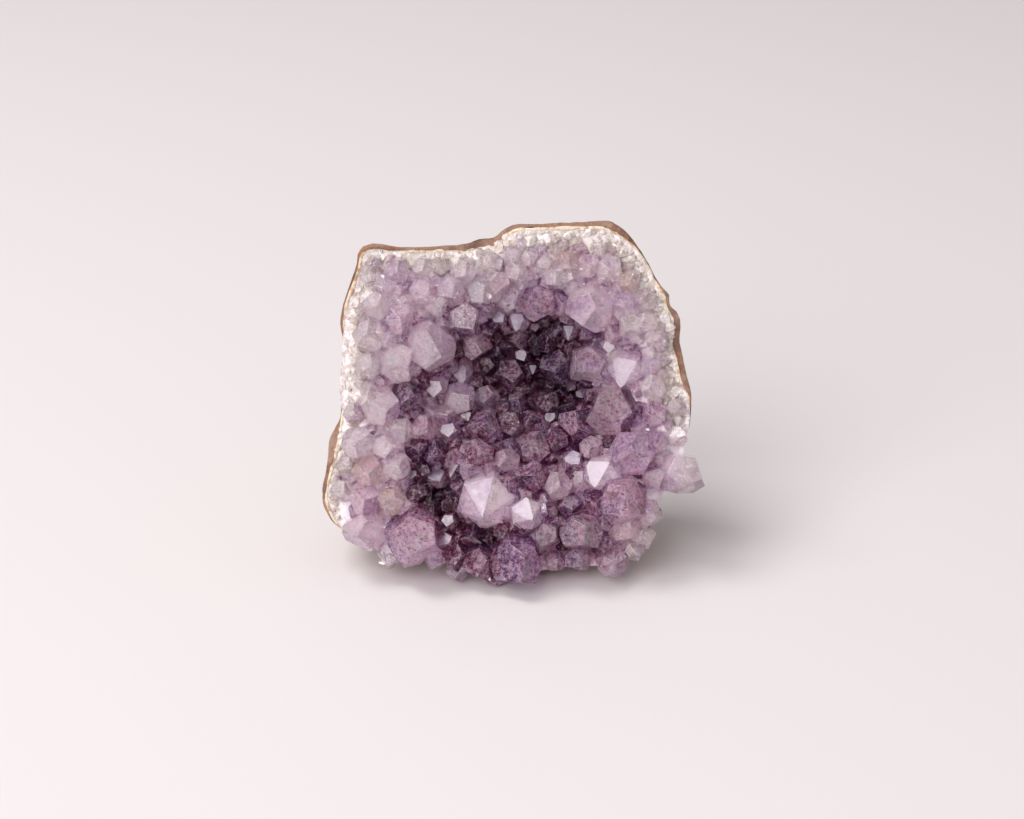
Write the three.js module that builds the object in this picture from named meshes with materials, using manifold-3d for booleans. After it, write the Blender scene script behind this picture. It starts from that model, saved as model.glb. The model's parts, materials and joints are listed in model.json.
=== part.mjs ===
// Amethyst cluster: a broken piece of a geode wall that stands on a flat base and leans back.
// From the outside in it is weathered host rock, a thin line of chalcedony, and quartz that
// ends in amethyst crystals. Millimetres, +Z up, +X to the right, +Y away from the crystals.
import * as THREE from 'three';
import { ConvexGeometry } from 'three/addons/geometries/ConvexGeometry.js';
import { mergeVertices } from 'three/addons/utils/BufferGeometryUtils.js';
import Module from 'manifold-3d';

const wasm = await Module();
wasm.setup();

const RAD = Math.PI / 180;

// The crystal side is a face with its own axes: u to the right, v up along the face and n out of
// it, towards the front. The face leans back, and its centre stands above the base.
const FACE_LEAN = 22 * RAD;
const FACE_CENTRE = [0, -0.5, 35];

// The broken edge, clockwise from the top left: u, v and the width of host rock that shows there.
const EDGE = [
  [-32.2, 32.5, 0.8], [-29.5, 33.7, 0.9], [-24, 33.1, 0.7], [-15, 33.3, 0.8], [-10, 33.8, 1.3],
  [-7, 34.9, 1.9], [-4, 35.2, 2.1], [-2, 36.8, 2.1], [1, 38.1, 1.1], [7, 38.2, 1.0],
  [13, 38.4, 1.1], [19.5, 38.8, 1.6], [22, 37.8, 1.4], [25, 35.1, 0.5], [28, 31.4, 0.3],
  [30.4, 27.1, 0.3], [32, 24.5, 0.6], [33.2, 23.3, 1.0], [33.5, 21, 0.9], [35.3, 19.3, 1.7],
  [35.9, 17, 2.1], [35.7, 13, 1.9], [36.4, 9.5, 1.5], [37.2, 5, 1.4], [37.9, 2, 0.5],
  [38.2, -1.5, 0.2], [37.6, -6, 0.1], [35.8, -12, 0], [33, -18.5, 0], [29.3, -24, 0],
  [25.8, -30, 0], [20, -34, 0], [10, -34.8, 0], [0, -36, 0], [-10, -34.4, 0],
  [-18, -32.6, 0], [-26, -32, 0], [-32, -29.6, 0], [-37.4, -26, 0.3], [-39.9, -22, 0.8],
  [-40.2, -18.6, 0.8], [-39.4, -14.4, 1.0], [-39, -10.5, 1.7], [-38.6, -7.6, 2.0], [-37.5, -4.8, 1.1],
  [-36.5, -2.5, 0.3], [-36.5, 3, 0], [-36.2, 8, 0], [-36, 14, 0.1], [-36.3, 18.2, 0.5],
  [-35.5, 22, 0.5], [-34.4, 25.4, 0.8], [-33, 29.4, 0.7],
];
const HUB = [0.5, -1];

// The layers of the wall. Where the edge shows almost no host rock, it has chipped away further back.
const RIND_LEAST = 0.6;
const RIND_BACK = 2.6;
const CHIP_DEPTH = 2.5;
const CHALCEDONY = 0.8;
const GAP = 0.3;
const BACK_DEPTH = 24;
const BACK_SLOPE = -0.32;
const LIP = 1.5;
const CUTTER_HEIGHT = 25;
const BUMP = 1.2;
const FINEST = 0.2;

const SPOKES = 50;
const FRONT_RINGS = 9;
const BACK_RINGS = 7;

// Quartz crystals: six prism faces and six pyramid faces, whose normals stand at this angle to
// the long axis. Three of the pyramid faces are large and three are small.
const PYRAMID_TILT = 51.8 * RAD;
const ROOT = 3;
const SHOULDER = 0.2;
const FOLLOW_BED = 0.75;
const SEED = 23;

// Two directions that many crystals turn a large pyramid face to, in u, v and n. The first is for
// the crystals below WINDOW_FROM, the other for those above. No other crystal has a face within
// FLASH_ANGLE of them.
const SHARED_FACE = new THREE.Vector3(-0.27, 0.52, 0.81).normalize();
const WINDOW_FACE = new THREE.Vector3(-0.24, 0.13, 0.96).normalize();
const WINDOW_FROM = 2;
const FLASH_ANGLE = 13 * RAD;
const LARGEST_STEP = 0.45;

// Crystals that show such a face: u, v, radius, the angle in the face at which the tip lies, and
// how uneven they are.
const FACING = [
  [-5.4, -20.6, 5.6, -76, 0], [3, -23, 3.5, -55, 0.3], [19, -15.2, 3.9, -90, 0.2],
  [13, -12.2, 2.3, -50, 0.6], [1.5, 17.8, 2.4, -90, 0.3], [12.6, 15.4, 2.1, -90, 0],
  [21, 12.4, 1.5, -90, 0.8], [-10.8, 6.5, 2.3, -70, 0.3], [2.2, 10.5, 1.7, -65, 0.6],
  [24.8, 7.6, 4.2, -100, 0.3], [-16, -15.4, 2.5, -60, 0.8], [29.8, -19.2, 1.9, -60, 0.8],
  [8.6, -3.4, 1.6, -90, 0.5], [-13.1, -5.9, 2.2, -80, 0.5], [4.7, 7.4, 1.3, -90, 0.5],
  [-2.9, 18.6, 1.8, -50, 0.8], [-0.9, 22.4, 1.4, -90, 0.8], [-16, 3.8, 2.4, -90, 0.8],
  [-13, -24.6, 1.8, -90, 0.8], [-13.4, -28.8, 2, -120, 0.8], [-20.8, -15, 1.4, -90, 1],
  [14.9, 1.6, 1.4, -60, 0.6], [-4.6, 20.9, 1.2, -90, 0.6], [-12.1, -14.4, 2, -90, 0.2],
  [-20.3, -2.4, 1.3, -80, 0.6],
];

// The other large crystals: u, v, radius, the angle in the face that they lean to, and how much.
const LEANING = [
  [-28.5, 21, 3.2, -50, 0.2], [-30, 27.2, 2.4, -60, 0.2], [-24, 28.3, 2.7, -90, 0.2],
  [-18.4, 28.6, 2.6, -80, 0.2], [-13, 24.8, 2.9, -90, 0.3], [-9.8, 28.4, 2.5, -90, 0.2],
  [-7, 24.2, 2.7, -80, 0.3], [-3, 26.4, 2.9, -90, 0.2], [0.8, 28.2, 2.5, -90, 0.2],
  [3.8, 31, 2.1, -90, 0.1], [6.8, 29.6, 2, 90, 0.5], [9.4, 27.3, 2.4, -90, 0.3],
  [12.2, 29.8, 2.5, 100, 0.3], [16, 29.6, 2.7, -90, 0.2], [20.4, 29, 3.1, -100, 0.2],
  [25, 26.2, 2.6, -120, 0.2], [28.2, 22.2, 2.6, -150, 0.2], [-24, 18.2, 3.4, -30, 0.1],
  [-18.8, 24, 3, -30, 0.2], [-16.4, 21.4, 2.6, -30, 0.2], [-10.7, 18.7, 3.6, -45, 0.2],
  [-6, 21.6, 2.1, -70, 0.2], [0.4, 23.4, 2.4, -90, 0.2], [5.2, 22.7, 4.1, -80, 0.3],
  [10.5, 21.6, 2.5, -90, 0.3], [16.7, 21.6, 5.1, -105, 0.35], [24.3, 21.8, 2.8, -130, 0.2],
  [25.4, 16.8, 2.7, -150, 0.2], [29, 17.4, 2.4, 180, 0.2], [31, 13.4, 2.5, 180, 0.1],
  [-30, 14.2, 3.5, 0, 0.1], [-18.5, 12.9, 5.4, -40, 0.1], [-24.6, 9, 4.1, -20, 0.2],
  [-30.6, 8.2, 3, 0, 0.2], [-28.3, -0.2, 4.1, -20, 0.2], [-33.4, -1.8, 2.4, 0, 0.1],
  [-32.6, -8, 3.7, 0, 0.1], [-30.4, -13.9, 3.5, 0, 0.1], [-35.2, -13.4, 2.5, 0, 0.1],
  [-31, -19.9, 3.7, 0, 0.1], [-36.2, -18.6, 2.5, 0, 0.1], [-22.5, 1.6, 3.5, 0, 0.1],
  [-24, -5.6, 3, -30, 0.1], [-19, -5, 3, -60, 0.1], [-26.5, -9.2, 3.1, 0, 0.1],
  [-24.4, -13.2, 3.2, 0, 0.1], [-20.4, -9.8, 2.7, -60, 0.1], [-25.4, -20.4, 3, 180, 0.1],
  [-20.4, -18.6, 2.4, -90, 0.1], [-31, -26.4, 4.4, -120, 0.2], [-20.4, -27.2, 5.9, -70, 0.15],
  [-25.8, -31.2, 2.8, -95, 0.5], [-16, -31.6, 2.7, -90, 0.4], [-1, 6, 3.7, -90, 0.35],
  [10.5, 7.8, 4.3, -100, 0.1], [16.9, 8.8, 4.6, -110, 0.1], [8, -0.6, 2.6, 90, 0.1],
  [-8.3, 12.7, 3.3, -60, 0.1], [-5.6, 8.6, 2.5, -60, 0.1], [-11.6, 1, 3.6, -60, 0.1],
  [-5.8, 1.2, 2.8, -60, 0.1], [0.8, -0.4, 2.4, -90, 0.1], [-6.2, -6, 3.7, -90, 0.1],
  [-0.6, -5.2, 3.2, 60, 0.1], [3.7, -4.4, 2.6, -60, 0.1], [-7.2, -11, 3.4, -90, 0.1],
  [4.8, -10, 3.5, -90, 0.1], [-1.2, -12.2, 2.8, -90, 0.1], [9.6, -8.2, 2.8, -90, 0.1],
  [14.6, -5.4, 4.3, 80, 0.2], [22.2, -1.8, 5.3, -150, 0.1], [17, -9.8, 2.7, -90, 0.1],
  [25.8, -10.4, 5.1, -90, 0.1], [30.2, -2.4, 2.8, 120, 0.1], [30.4, 3.6, 2.8, -160, 0.1],
  [34.4, -0.6, 2.2, 0, 0.2], [34.6, -6.6, 2.3, 0, 0.3], [30.4, -8, 2.4, -120, 0.1],
  [35.6, -14.4, 4.5, -12, 0.55], [29.8, -15.6, 2.6, -60, 0.2], [4.2, -15.6, 3.5, -90, 0.1],
  [-8.6, -14.4, 2.4, 120, 0.1], [-0.6, -17.2, 2.6, 90, 0.1], [9.6, -17.2, 3.1, -90, 0.1],
  [7.2, -27.2, 3.3, -110, 0.3], [0.8, -31.4, 5.6, -70, 0.25], [-6, -32.6, 4.1, -110, 0.3],
  [-11.8, -31.4, 3.3, -110, 0.3], [-11.2, -34.4, 2.5, -110, 0.5], [-3.2, -35.4, 2.6, -100, 0.5],
  [9.2, -32.8, 2.2, -90, 0.3], [14.4, -26, 4.7, -80, 0.3], [14, -32, 2.8, -90, 0.4],
  [22.6, -19.9, 5.1, -60, 0.2], [12, -21.6, 2.5, -60, 0.2], [24, -25.8, 3.3, -80, 0.3],
  [27.4, -27.4, 2.6, -50, 0.4], [28.2, -22.8, 3, -30, 0.3], [21, -32.2, 3.5, -75, 0.7],
  [25.8, -30.2, 2.6, -60, 0.4], [18.4, -28.8, 2.7, -90, 0.3], [17, -20.6, 3.1, -60, 0.1],
  [-16.4, -10, 3, -60, 0.1], [13.6, 11.6, 2.6, -90, 0.1], [7.4, 13.4, 2.8, -90, 0.1],
];

// How high the bed that the crystals grow from stands out of the face: a lip inside the edge, a
// deep hollow above the middle, a swelling below it and a small pocket at the lower left.
function bedHeight(u, v) {
  const hollow = 13 * Math.exp(-Math.pow(((u - 5) / 18) ** 2 + ((v - 7) / 14) ** 2, 1.2));
  const swelling = 4 * Math.exp(-(((u - 4) / 26) ** 2) - ((v + 22) / 11) ** 2);
  const pocket = 5 * Math.exp(-(((u + 15) / 5) ** 2) - ((v + 19) / 4) ** 2);
  const shelf = 1.5 * Math.exp(-((Math.hypot(u / 1.02, v) - 29) ** 2) / 30);
  return shelf + swelling - hollow - pocket;
}

// The broken surface of the wall along the edge, which isn't quite flat.
function breakHeight(u, v) {
  return 0.5 * Math.sin(0.31 * u + 0.5) + 0.4 * Math.sin(0.27 * v - 0.17 * u);
}

// Bumps of the weathered outside.
function bump(u, v, w) {
  const broad = Math.sin(0.24 * u + 0.9) * Math.sin(0.2 * v - 0.15 * w + 0.6);
  const fine = Math.sin(0.61 * u - 0.35 * w) * Math.sin(0.55 * v + 0.4 * w + 2);
  return BUMP * (broad + 0.5 * fine);
}

const edgeCurve = new THREE.CatmullRomCurve3(EDGE.map((point) => new THREE.Vector3(...point)), true);
edgeCurve.arcLengthDivisions = 1200;
const edgePoints = edgeCurve.getSpacedPoints(SPOKES).slice(0, SPOKES);

// A closed bowl under the broken face, made from a sphere's net of rings and spokes. inset(point,
// back) says how far inside the outer surface it lies, from 0 at the edge to 1 at the back, and
// top(u, v, point) how high its front stands. The layers of the wall are bowls inside each other.
function bowl(inset, top, rough = 0) {
  const rings = FRONT_RINGS + 1 + BACK_RINGS;
  const geometry = new THREE.SphereGeometry(1, SPOKES, rings);
  const position = geometry.getAttribute('position');
  const vertex = new THREE.Vector3();
  for (let i = 0; i < position.count; i += 1) {
    vertex.fromBufferAttribute(position, i);
    const ring = Math.round((Math.acos(THREE.MathUtils.clamp(vertex.y, -1, 1)) / Math.PI) * rings);
    const turn = Math.round((Math.atan2(vertex.z, vertex.x) / (2 * Math.PI)) * SPOKES);
    const point = edgePoints[((turn % SPOKES) + SPOKES) % SPOKES];
    const back = Math.max(0, (ring - FRONT_RINGS - 1) / BACK_RINGS);
    const reach = ring <= FRONT_RINGS ? ring / FRONT_RINGS : Math.sqrt(Math.cos((back * Math.PI) / 2));
    const depth = inset(point, back);
    const length = Math.hypot(point.x - HUB[0], point.y - HUB[1]);
    const scale = ring === 0 || ring === rings ? 0 : (reach * (length - depth)) / length;
    const u = HUB[0] + (point.x - HUB[0]) * scale;
    const v = HUB[1] + (point.y - HUB[1]) * scale;
    const height = top(u, v, point);
    const fall = (BACK_DEPTH + BACK_SLOPE * v - depth) * Math.sin((back * Math.PI) / 2);
    const lip = Math.min(-LIP, height - 1);
    const w = ring <= FRONT_RINGS ? height : Math.min(lip, -fall);
    const swell = rough * Math.sqrt(back) * bump(u, v, w);
    const side = 1 + swell / Math.max(length, 1);
    position.setXYZ(i, HUB[0] + (u - HUB[0]) * side, HUB[1] + (v - HUB[1]) * side, w - swell * back);
  }
  return toSolid(geometry);
}

// A crystal with its long axis on z and its shoulder, where prism and pyramid meet, at z = 0.
// small is how much further out the small pyramid faces lie than the large ones.
function crystalGeometry(radius, small, root) {
  const planes = [{ normal: new THREE.Vector3(0, 0, -1), reach: root }];
  for (let side = 0; side < 6; side += 1) {
    const angle = side * 60 * RAD;
    const out = new THREE.Vector3(Math.cos(angle), Math.sin(angle), 0);
    planes.push({ normal: out, reach: radius });
    const slope = out.clone().multiplyScalar(Math.sin(PYRAMID_TILT));
    slope.z = Math.cos(PYRAMID_TILT);
    const extra = side % 2 === 0 ? 0 : small;
    planes.push({ normal: slope, reach: (radius + extra) * Math.sin(PYRAMID_TILT) });
  }
  return new ConvexGeometry(corners(planes));
}

// The corners of the body that a set of planes encloses: every point where three of them meet and
// that lies behind all the others.
function corners(planes) {
  const found = [];
  const cross = new THREE.Vector3();
  for (let a = 0; a < planes.length; a += 1) {
    for (let b = a + 1; b < planes.length; b += 1) {
      for (let c = b + 1; c < planes.length; c += 1) {
        const three = [planes[a], planes[b], planes[c]];
        const spread = three[0].normal.dot(cross.crossVectors(three[1].normal, three[2].normal));
        if (Math.abs(spread) < 1e-6) continue;
        const point = new THREE.Vector3();
        three.forEach((plane, k) => {
          cross.crossVectors(three[(k + 1) % 3].normal, three[(k + 2) % 3].normal);
          point.addScaledVector(cross, plane.reach / spread);
        });
        const inside = planes.every((plane) => plane.normal.dot(point) < plane.reach + 1e-5);
        const fresh = found.every((other) => other.distanceTo(point) > 1e-3);
        if (inside && fresh) found.push(point);
      }
    }
  }
  return found;
}

// A repeatable sequence of numbers from 0 to 1.
function numbers(seed) {
  let state = seed;
  return () => {
    state = (state + 0x6d2b79f5) | 0;
    let t = Math.imul(state ^ (state >>> 15), 1 | state);
    t = (t + Math.imul(t ^ (t >>> 7), 61 | t)) ^ t;
    return ((t ^ (t >>> 14)) >>> 0) / 4294967296;
  };
}

// The axis of a crystal that turns a large pyramid face to a direction, with its tip at an angle.
function facingFrame(face, angle) {
  const tip = new THREE.Vector3(Math.cos(angle * RAD), Math.sin(angle * RAD), 0);
  tip.addScaledVector(face, -tip.dot(face)).normalize();
  const axis = face.clone().multiplyScalar(Math.cos(PYRAMID_TILT));
  axis.addScaledVector(tip, Math.sin(PYRAMID_TILT));
  const side = face.clone().addScaledVector(axis, -face.dot(axis)).normalize();
  return { axis, side };
}

// The axis of a crystal that stands on the bed and leans to one side, turned about it by twist.
function leaningFrame(u, v, angle, lean, twist) {
  const step = 0.5;
  const slopeU = (bedHeight(u + step, v) - bedHeight(u - step, v)) / (2 * step);
  const slopeV = (bedHeight(u, v + step) - bedHeight(u, v - step)) / (2 * step);
  const axis = new THREE.Vector3(
    lean * Math.cos(angle * RAD) - FOLLOW_BED * slopeU,
    lean * Math.sin(angle * RAD) - FOLLOW_BED * slopeV,
    1,
  ).normalize();
  const side = new THREE.Vector3(1, 0, 0).addScaledVector(axis, -axis.x).normalize();
  side.applyAxisAngle(axis, twist);
  return { axis, side };
}

// Whether a pyramid face comes close to one of the two shared directions.
function flashes(frame) {
  for (let side = 0; side < 6; side += 1) {
    const across = frame.side.clone().applyAxisAngle(frame.axis, side * 60 * RAD);
    const normal = across.multiplyScalar(Math.sin(PYRAMID_TILT));
    normal.addScaledVector(frame.axis, Math.cos(PYRAMID_TILT));
    const nearest = Math.min(normal.angleTo(SHARED_FACE), normal.angleTo(WINDOW_FACE));
    if (nearest < FLASH_ANGLE) return true;
  }
  return false;
}

// A leaning crystal's axis, turned on in steps until no pyramid face flashes.
function quietFrame(u, v, angle, lean, twist) {
  const step = 10 * RAD;
  const most = twist + 11 * step;
  let frame = leaningFrame(u, v, angle, lean, twist);
  for (let turn = twist + step; flashes(frame) && turn < most; turn += step) {
    frame = leaningFrame(u, v, angle, lean, turn);
  }
  return frame;
}

function crystalSolid(u, v, radius, frame, small) {
  const rise = SHOULDER * radius;
  const geometry = crystalGeometry(radius, small * radius, rise + ROOT);
  const third = new THREE.Vector3().crossVectors(frame.axis, frame.side);
  const pose = new THREE.Matrix4().makeBasis(frame.side, third, frame.axis);
  const foot = new THREE.Vector3(u, v, bedHeight(u, v));
  pose.setPosition(foot.addScaledVector(frame.axis, rise));
  geometry.applyMatrix4(pose);
  return toSolid(geometry);
}

function toSolid(geometry) {
  const bare = geometry.clone();
  bare.deleteAttribute('normal');
  bare.deleteAttribute('uv');
  const merged = mergeVertices(bare, 1e-4);
  const vertProperties = Float32Array.from(merged.getAttribute('position').array);
  const triVerts = Uint32Array.from(merged.getIndex().array);
  return new wasm.Manifold(new wasm.Mesh({ numProp: 3, vertProperties, triVerts }));
}

function toGeometry(solid) {
  const mesh = solid.getMesh();
  const geometry = new THREE.BufferGeometry();
  geometry.setAttribute('position', new THREE.BufferAttribute(mesh.vertProperties, 3));
  geometry.setIndex(new THREE.BufferAttribute(mesh.triVerts, 1));
  return geometry;
}

// Everything is shaped in the axes of the face, then turned to lean back and cut flat at z = 0.
const upright = new THREE.Matrix4().makeBasis(
  new THREE.Vector3(1, 0, 0),
  new THREE.Vector3(0, Math.sin(FACE_LEAN), Math.cos(FACE_LEAN)),
  new THREE.Vector3(0, -Math.cos(FACE_LEAN), Math.sin(FACE_LEAN)),
);
upright.setPosition(...FACE_CENTRE);
const ground = new THREE.BoxGeometry(200, 200, 100).translate(0, 0, -50);

function stand(solid) {
  const placed = toSolid(toGeometry(solid).applyMatrix4(upright));
  const pieces = placed.subtract(toSolid(ground)).asOriginal().simplify(FINEST).decompose();
  return pieces.reduce((largest, piece) => (piece.volume() > largest.volume() ? piece : largest));
}

// How far inside the outer surface each layer lies.
const rindWidth = (point, back) => {
  const atEdge = Math.max(point.z, RIND_LEAST);
  return atEdge + (RIND_BACK - atEdge) * Math.pow(back, 0.7);
};
const onOutside = () => 0;
const underRind = (point, back) => rindWidth(point, back);
const chalcedonyOutside = (point, back) => rindWidth(point, back) + GAP;
const chalcedonyInside = (point, back) => rindWidth(point, back) + GAP + CHALCEDONY;
const quartzOutside = (point, back) => rindWidth(point, back) + 2 * GAP + CHALCEDONY;
const wayAbove = () => CUTTER_HEIGHT;

function rindTop(u, v, point) {
  const missing = Math.max(0, RIND_LEAST - point.z) / RIND_LEAST;
  const outward = Math.hypot(u - HUB[0], v - HUB[1]) / Math.hypot(point.x - HUB[0], point.y - HUB[1]);
  return breakHeight(u, v) - CHIP_DEPTH * missing * outward;
}

function hostRockRind() {
  return bowl(onOutside, rindTop, 1).subtract(bowl(underRind, wayAbove));
}

function chalcedonyBand() {
  return bowl(chalcedonyOutside, breakHeight).subtract(bowl(chalcedonyInside, wayAbove));
}

// The quartz bed and all the crystals that stand on it, grown together as one solid. The wall's
// outer layers are kept free, with a gap.
function amethystDruse() {
  const next = numbers(SEED);
  const crystals = [];
  for (const [u, v, radius, angle, uneven] of FACING) {
    const face = v > WINDOW_FROM ? WINDOW_FACE : SHARED_FACE;
    crystals.push(crystalSolid(u, v, radius, facingFrame(face, angle), LARGEST_STEP * uneven));
  }
  for (const [u, v, radius, angle, lean] of LEANING) {
    const leanMore = lean + 0.2 * next();
    const frame = quietFrame(u, v, angle, leanMore, 120 * RAD * next());
    crystals.push(crystalSolid(u, v, radius, frame, LARGEST_STEP));
  }
  const outerLayers = bowl(() => -GAP, (u, v) => breakHeight(u, v) + GAP);
  const keptFree = outerLayers.subtract(bowl(quartzOutside, wayAbove));
  const grown = crystals.reduce((sum, crystal) => sum.add(crystal)).subtract(keptFree);
  return bowl(quartzOutside, bedHeight).add(grown);
}

function addNode(group, name, solid, colour, roughness) {
  const material = new THREE.MeshStandardMaterial({ color: colour, roughness, metalness: 0 });
  const mesh = new THREE.Mesh(toGeometry(stand(solid)), material);
  mesh.name = name;
  group.add(mesh);
}

const amethystCluster = new THREE.Group();
addNode(amethystCluster, 'host_rock_rind', hostRockRind(), 0x8a6f5c, 0.9);
addNode(amethystCluster, 'chalcedony_band', chalcedonyBand(), 0xe0c9a8, 0.6);
addNode(amethystCluster, 'amethyst_druse', amethystDruse(), 0x9a7ba8, 0.1);

export default amethystCluster;
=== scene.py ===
# %% [markdown]
# # An amethyst cluster
# This is a palm-sized piece broken out of the wall of a geode. Its layers grew one inside the
# other: weathered host rock at the back, a thin cream line of chalcedony, a bed of white quartz,
# and quartz crystals coloured violet by iron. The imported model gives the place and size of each
# layer. Here each one gets its real surface.

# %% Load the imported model
import itertools
import json
import math

import bmesh
import bpy
import numpy as np
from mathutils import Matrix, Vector, noise

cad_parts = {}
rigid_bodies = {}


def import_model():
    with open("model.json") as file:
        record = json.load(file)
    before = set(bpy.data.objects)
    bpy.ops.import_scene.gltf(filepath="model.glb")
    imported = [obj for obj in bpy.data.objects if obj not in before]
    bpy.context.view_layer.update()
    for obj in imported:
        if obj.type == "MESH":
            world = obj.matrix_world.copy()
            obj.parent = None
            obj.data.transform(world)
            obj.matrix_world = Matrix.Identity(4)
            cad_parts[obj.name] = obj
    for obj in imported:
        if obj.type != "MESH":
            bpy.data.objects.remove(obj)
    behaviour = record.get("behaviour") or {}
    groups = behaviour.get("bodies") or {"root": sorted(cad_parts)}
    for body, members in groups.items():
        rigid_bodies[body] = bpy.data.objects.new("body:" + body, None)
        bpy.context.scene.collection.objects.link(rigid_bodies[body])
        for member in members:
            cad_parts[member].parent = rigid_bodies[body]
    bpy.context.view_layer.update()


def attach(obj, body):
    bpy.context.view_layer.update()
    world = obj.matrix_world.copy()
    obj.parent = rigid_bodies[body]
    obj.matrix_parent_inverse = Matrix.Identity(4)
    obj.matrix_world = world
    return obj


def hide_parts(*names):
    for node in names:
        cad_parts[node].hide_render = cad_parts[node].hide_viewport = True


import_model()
scene = bpy.context.scene

# %% [markdown]
# The crystal side is a face that leans back, and everything on it is easiest to place in its own
# axes: u to the right, v up along the face and w out of it. All shapes are made there in
# millimetres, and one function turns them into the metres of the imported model.

# %% The axes of the leaning face
MM = 0.001
FACE_LEAN = math.radians(22)
FACE_CENTRE = np.array((0, -0.5, 35))
FACE_AXES = np.array((
    (1, 0, 0),
    (0, math.sin(FACE_LEAN), math.cos(FACE_LEAN)),
    (0, -math.cos(FACE_LEAN), math.sin(FACE_LEAN)),
))


def upright(points):
    """Points in u, v, w millimetres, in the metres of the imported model."""
    return (FACE_CENTRE + np.asarray(points, float) @ FACE_AXES) * MM


print("face centre", upright((0, 0, 0)))

# %% [markdown]
# The camera comes first, because every later choice is judged through it. It looks down on the
# piece by about as much as the face leans back, so it sees the crystals nearly square on. A long
# lens from half a metre away keeps the shape free of distortion.

# %% Place the camera
CAMERA_RISE = math.radians(24)
CAMERA_DISTANCE = 0.513
LENS = 85
AIM = upright((0, -1.2, 0))

camera_data = bpy.data.cameras.new("camera")
camera_data.lens = LENS
camera_data.clip_start = 0.01
camera = bpy.data.objects.new("camera", camera_data)
scene.collection.objects.link(camera)
away = Vector((0, -math.cos(CAMERA_RISE), math.sin(CAMERA_RISE)))
camera.location = Vector(AIM) + CAMERA_DISTANCE * away
camera.rotation_euler = (math.pi / 2 - CAMERA_RISE, 0, 0)
scene.camera = camera
print("camera at", tuple(round(value, 3) for value in camera.location))

# %% [markdown]
# Shader nodes are easier to read as arithmetic. This small class wraps a socket, so that an
# expression such as `1 - mask * 0.5` adds the Math nodes it needs. Every other node comes from
# one method, which takes its type, its settings and the values or links of its sockets.


# %% Write shader maths as Python expressions
class Value:
    """A socket of a material's node tree that takes part in Python arithmetic."""

    def __init__(self, tree, socket):
        self.tree = tree
        self.socket = socket

    def maths(self, operation, *values):
        node = self.tree.nodes.new("ShaderNodeMath")
        node.operation = operation
        for place, value in enumerate(values):
            fill(self.tree, node.inputs[place], value)
        return Value(self.tree, node.outputs[0])

    def __add__(self, other):
        return self.maths("ADD", self, other)

    def __radd__(self, other):
        return self.maths("ADD", other, self)

    def __sub__(self, other):
        return self.maths("SUBTRACT", self, other)

    def __rsub__(self, other):
        return self.maths("SUBTRACT", other, self)

    def __mul__(self, other):
        return self.maths("MULTIPLY", self, other)

    def __rmul__(self, other):
        return self.maths("MULTIPLY", other, self)


def fill(tree, socket, value):
    """Link a value to a socket, or set the socket to it."""
    if isinstance(value, Value):
        tree.links.new(value.socket, socket)
    else:
        socket.default_value = value


class Finish:
    """A material, and the one method that adds a node to it."""

    def __init__(self, name):
        self.material = bpy.data.materials.new(name)
        self.material.use_nodes = True
        self.tree = self.material.node_tree
        self.tree.nodes.clear()

    def node(self, kind, settings=None, inputs=None, output=0):
        node = self.tree.nodes.new(kind)
        for name, value in (settings or {}).items():
            if name == "stops":
                self.set_stops(node.color_ramp, value)
            else:
                setattr(node, name, value)
        for name, value in (inputs or {}).items():
            fill(self.tree, node.inputs[name], value)
        return None if output is None else Value(self.tree, node.outputs[output])

    def set_stops(self, ramp, stops):
        while len(ramp.elements) < len(stops):
            ramp.elements.new(1)
        for element, (place, colour) in zip(ramp.elements, stops):
            element.position = place
            element.color = colour

    def place(self):
        return self.node("ShaderNodeTexCoord", output="Object")

    def noise(self, scale, detail=4, roughness=0.55, at=None):
        inputs = {"Vector": at or self.place(), "Scale": scale, "Detail": detail, "Roughness": roughness}
        return self.node("ShaderNodeTexNoise", inputs=inputs, output="Fac")

    def cells(self, scale):
        """A random tone for each cell of a crackle."""
        inputs = {"Vector": self.place(), "Scale": scale}
        return self.node("ShaderNodeTexVoronoi", inputs=inputs, output="Color")

    def ramp(self, value, stops):
        return self.node("ShaderNodeValToRGB", {"stops": stops}, {"Fac": value})

    def steps(self, value, low, high):
        """0 below low, 1 above high, smooth between."""
        settings = {"interpolation_type": "SMOOTHSTEP"}
        return self.node("ShaderNodeMapRange", settings, {"Value": value, 1: low, 2: high})

    def mix(self, factor, first, second):
        settings = {"data_type": "RGBA"}
        return self.node("ShaderNodeMix", settings, {0: factor, 6: first, 7: second}, 2)

    def attribute(self, name):
        return self.node("ShaderNodeAttribute", {"attribute_name": name}, output="Fac")

    def bump(self, height, distance, strength=1.0):
        inputs = {"Height": height, "Distance": distance, "Strength": strength}
        return self.node("ShaderNodeBump", inputs=inputs)

    def principled(self, **inputs):
        named = {name.replace("_", " "): value for name, value in inputs.items()}
        return self.node("ShaderNodeBsdfPrincipled", inputs=named, output="BSDF")

    def finish(self, surface, volume=None):
        sockets = {"Surface": surface}
        if volume is not None:
            sockets["Volume"] = volume
        self.node("ShaderNodeOutputMaterial", inputs=sockets, output=None)
        return self.material


def linear(red, green, blue):
    """A colour given as display values from 0 to 255, as the shader wants it."""
    shown = [channel / 255 for channel in (red, green, blue)]
    return (*(value / 12.92 if value < 0.04045 else ((value + 0.055) / 1.055) ** 2.4 for value in shown), 1)


print("mauve", [round(value, 3) for value in linear(157, 128, 145)])

# %% [markdown]
# The piece stands on a pale seamless surface. One soft light hangs above it, to the left, and a
# larger, weaker one stands in front like a window. Their mirror images are what makes single
# crystal faces flash white. A dim, even sky fills the shadows. A floor plane that reaches past
# the picture does for the backdrop, since the camera looks down. Light has to pass many walls of
# crystal, so the number of bounces is raised too.

# %% Floor, sky and softbox
FLOOR_HALF = 3
KEY_DIRECTION = Vector((-0.45, 0, 0.89)).normalized()
KEY_DISTANCE = 1.4
KEY_SIZE = 0.64
KEY_WATTS = 9.8
WINDOW_WATTS = 26
SKY = 0.43

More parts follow.
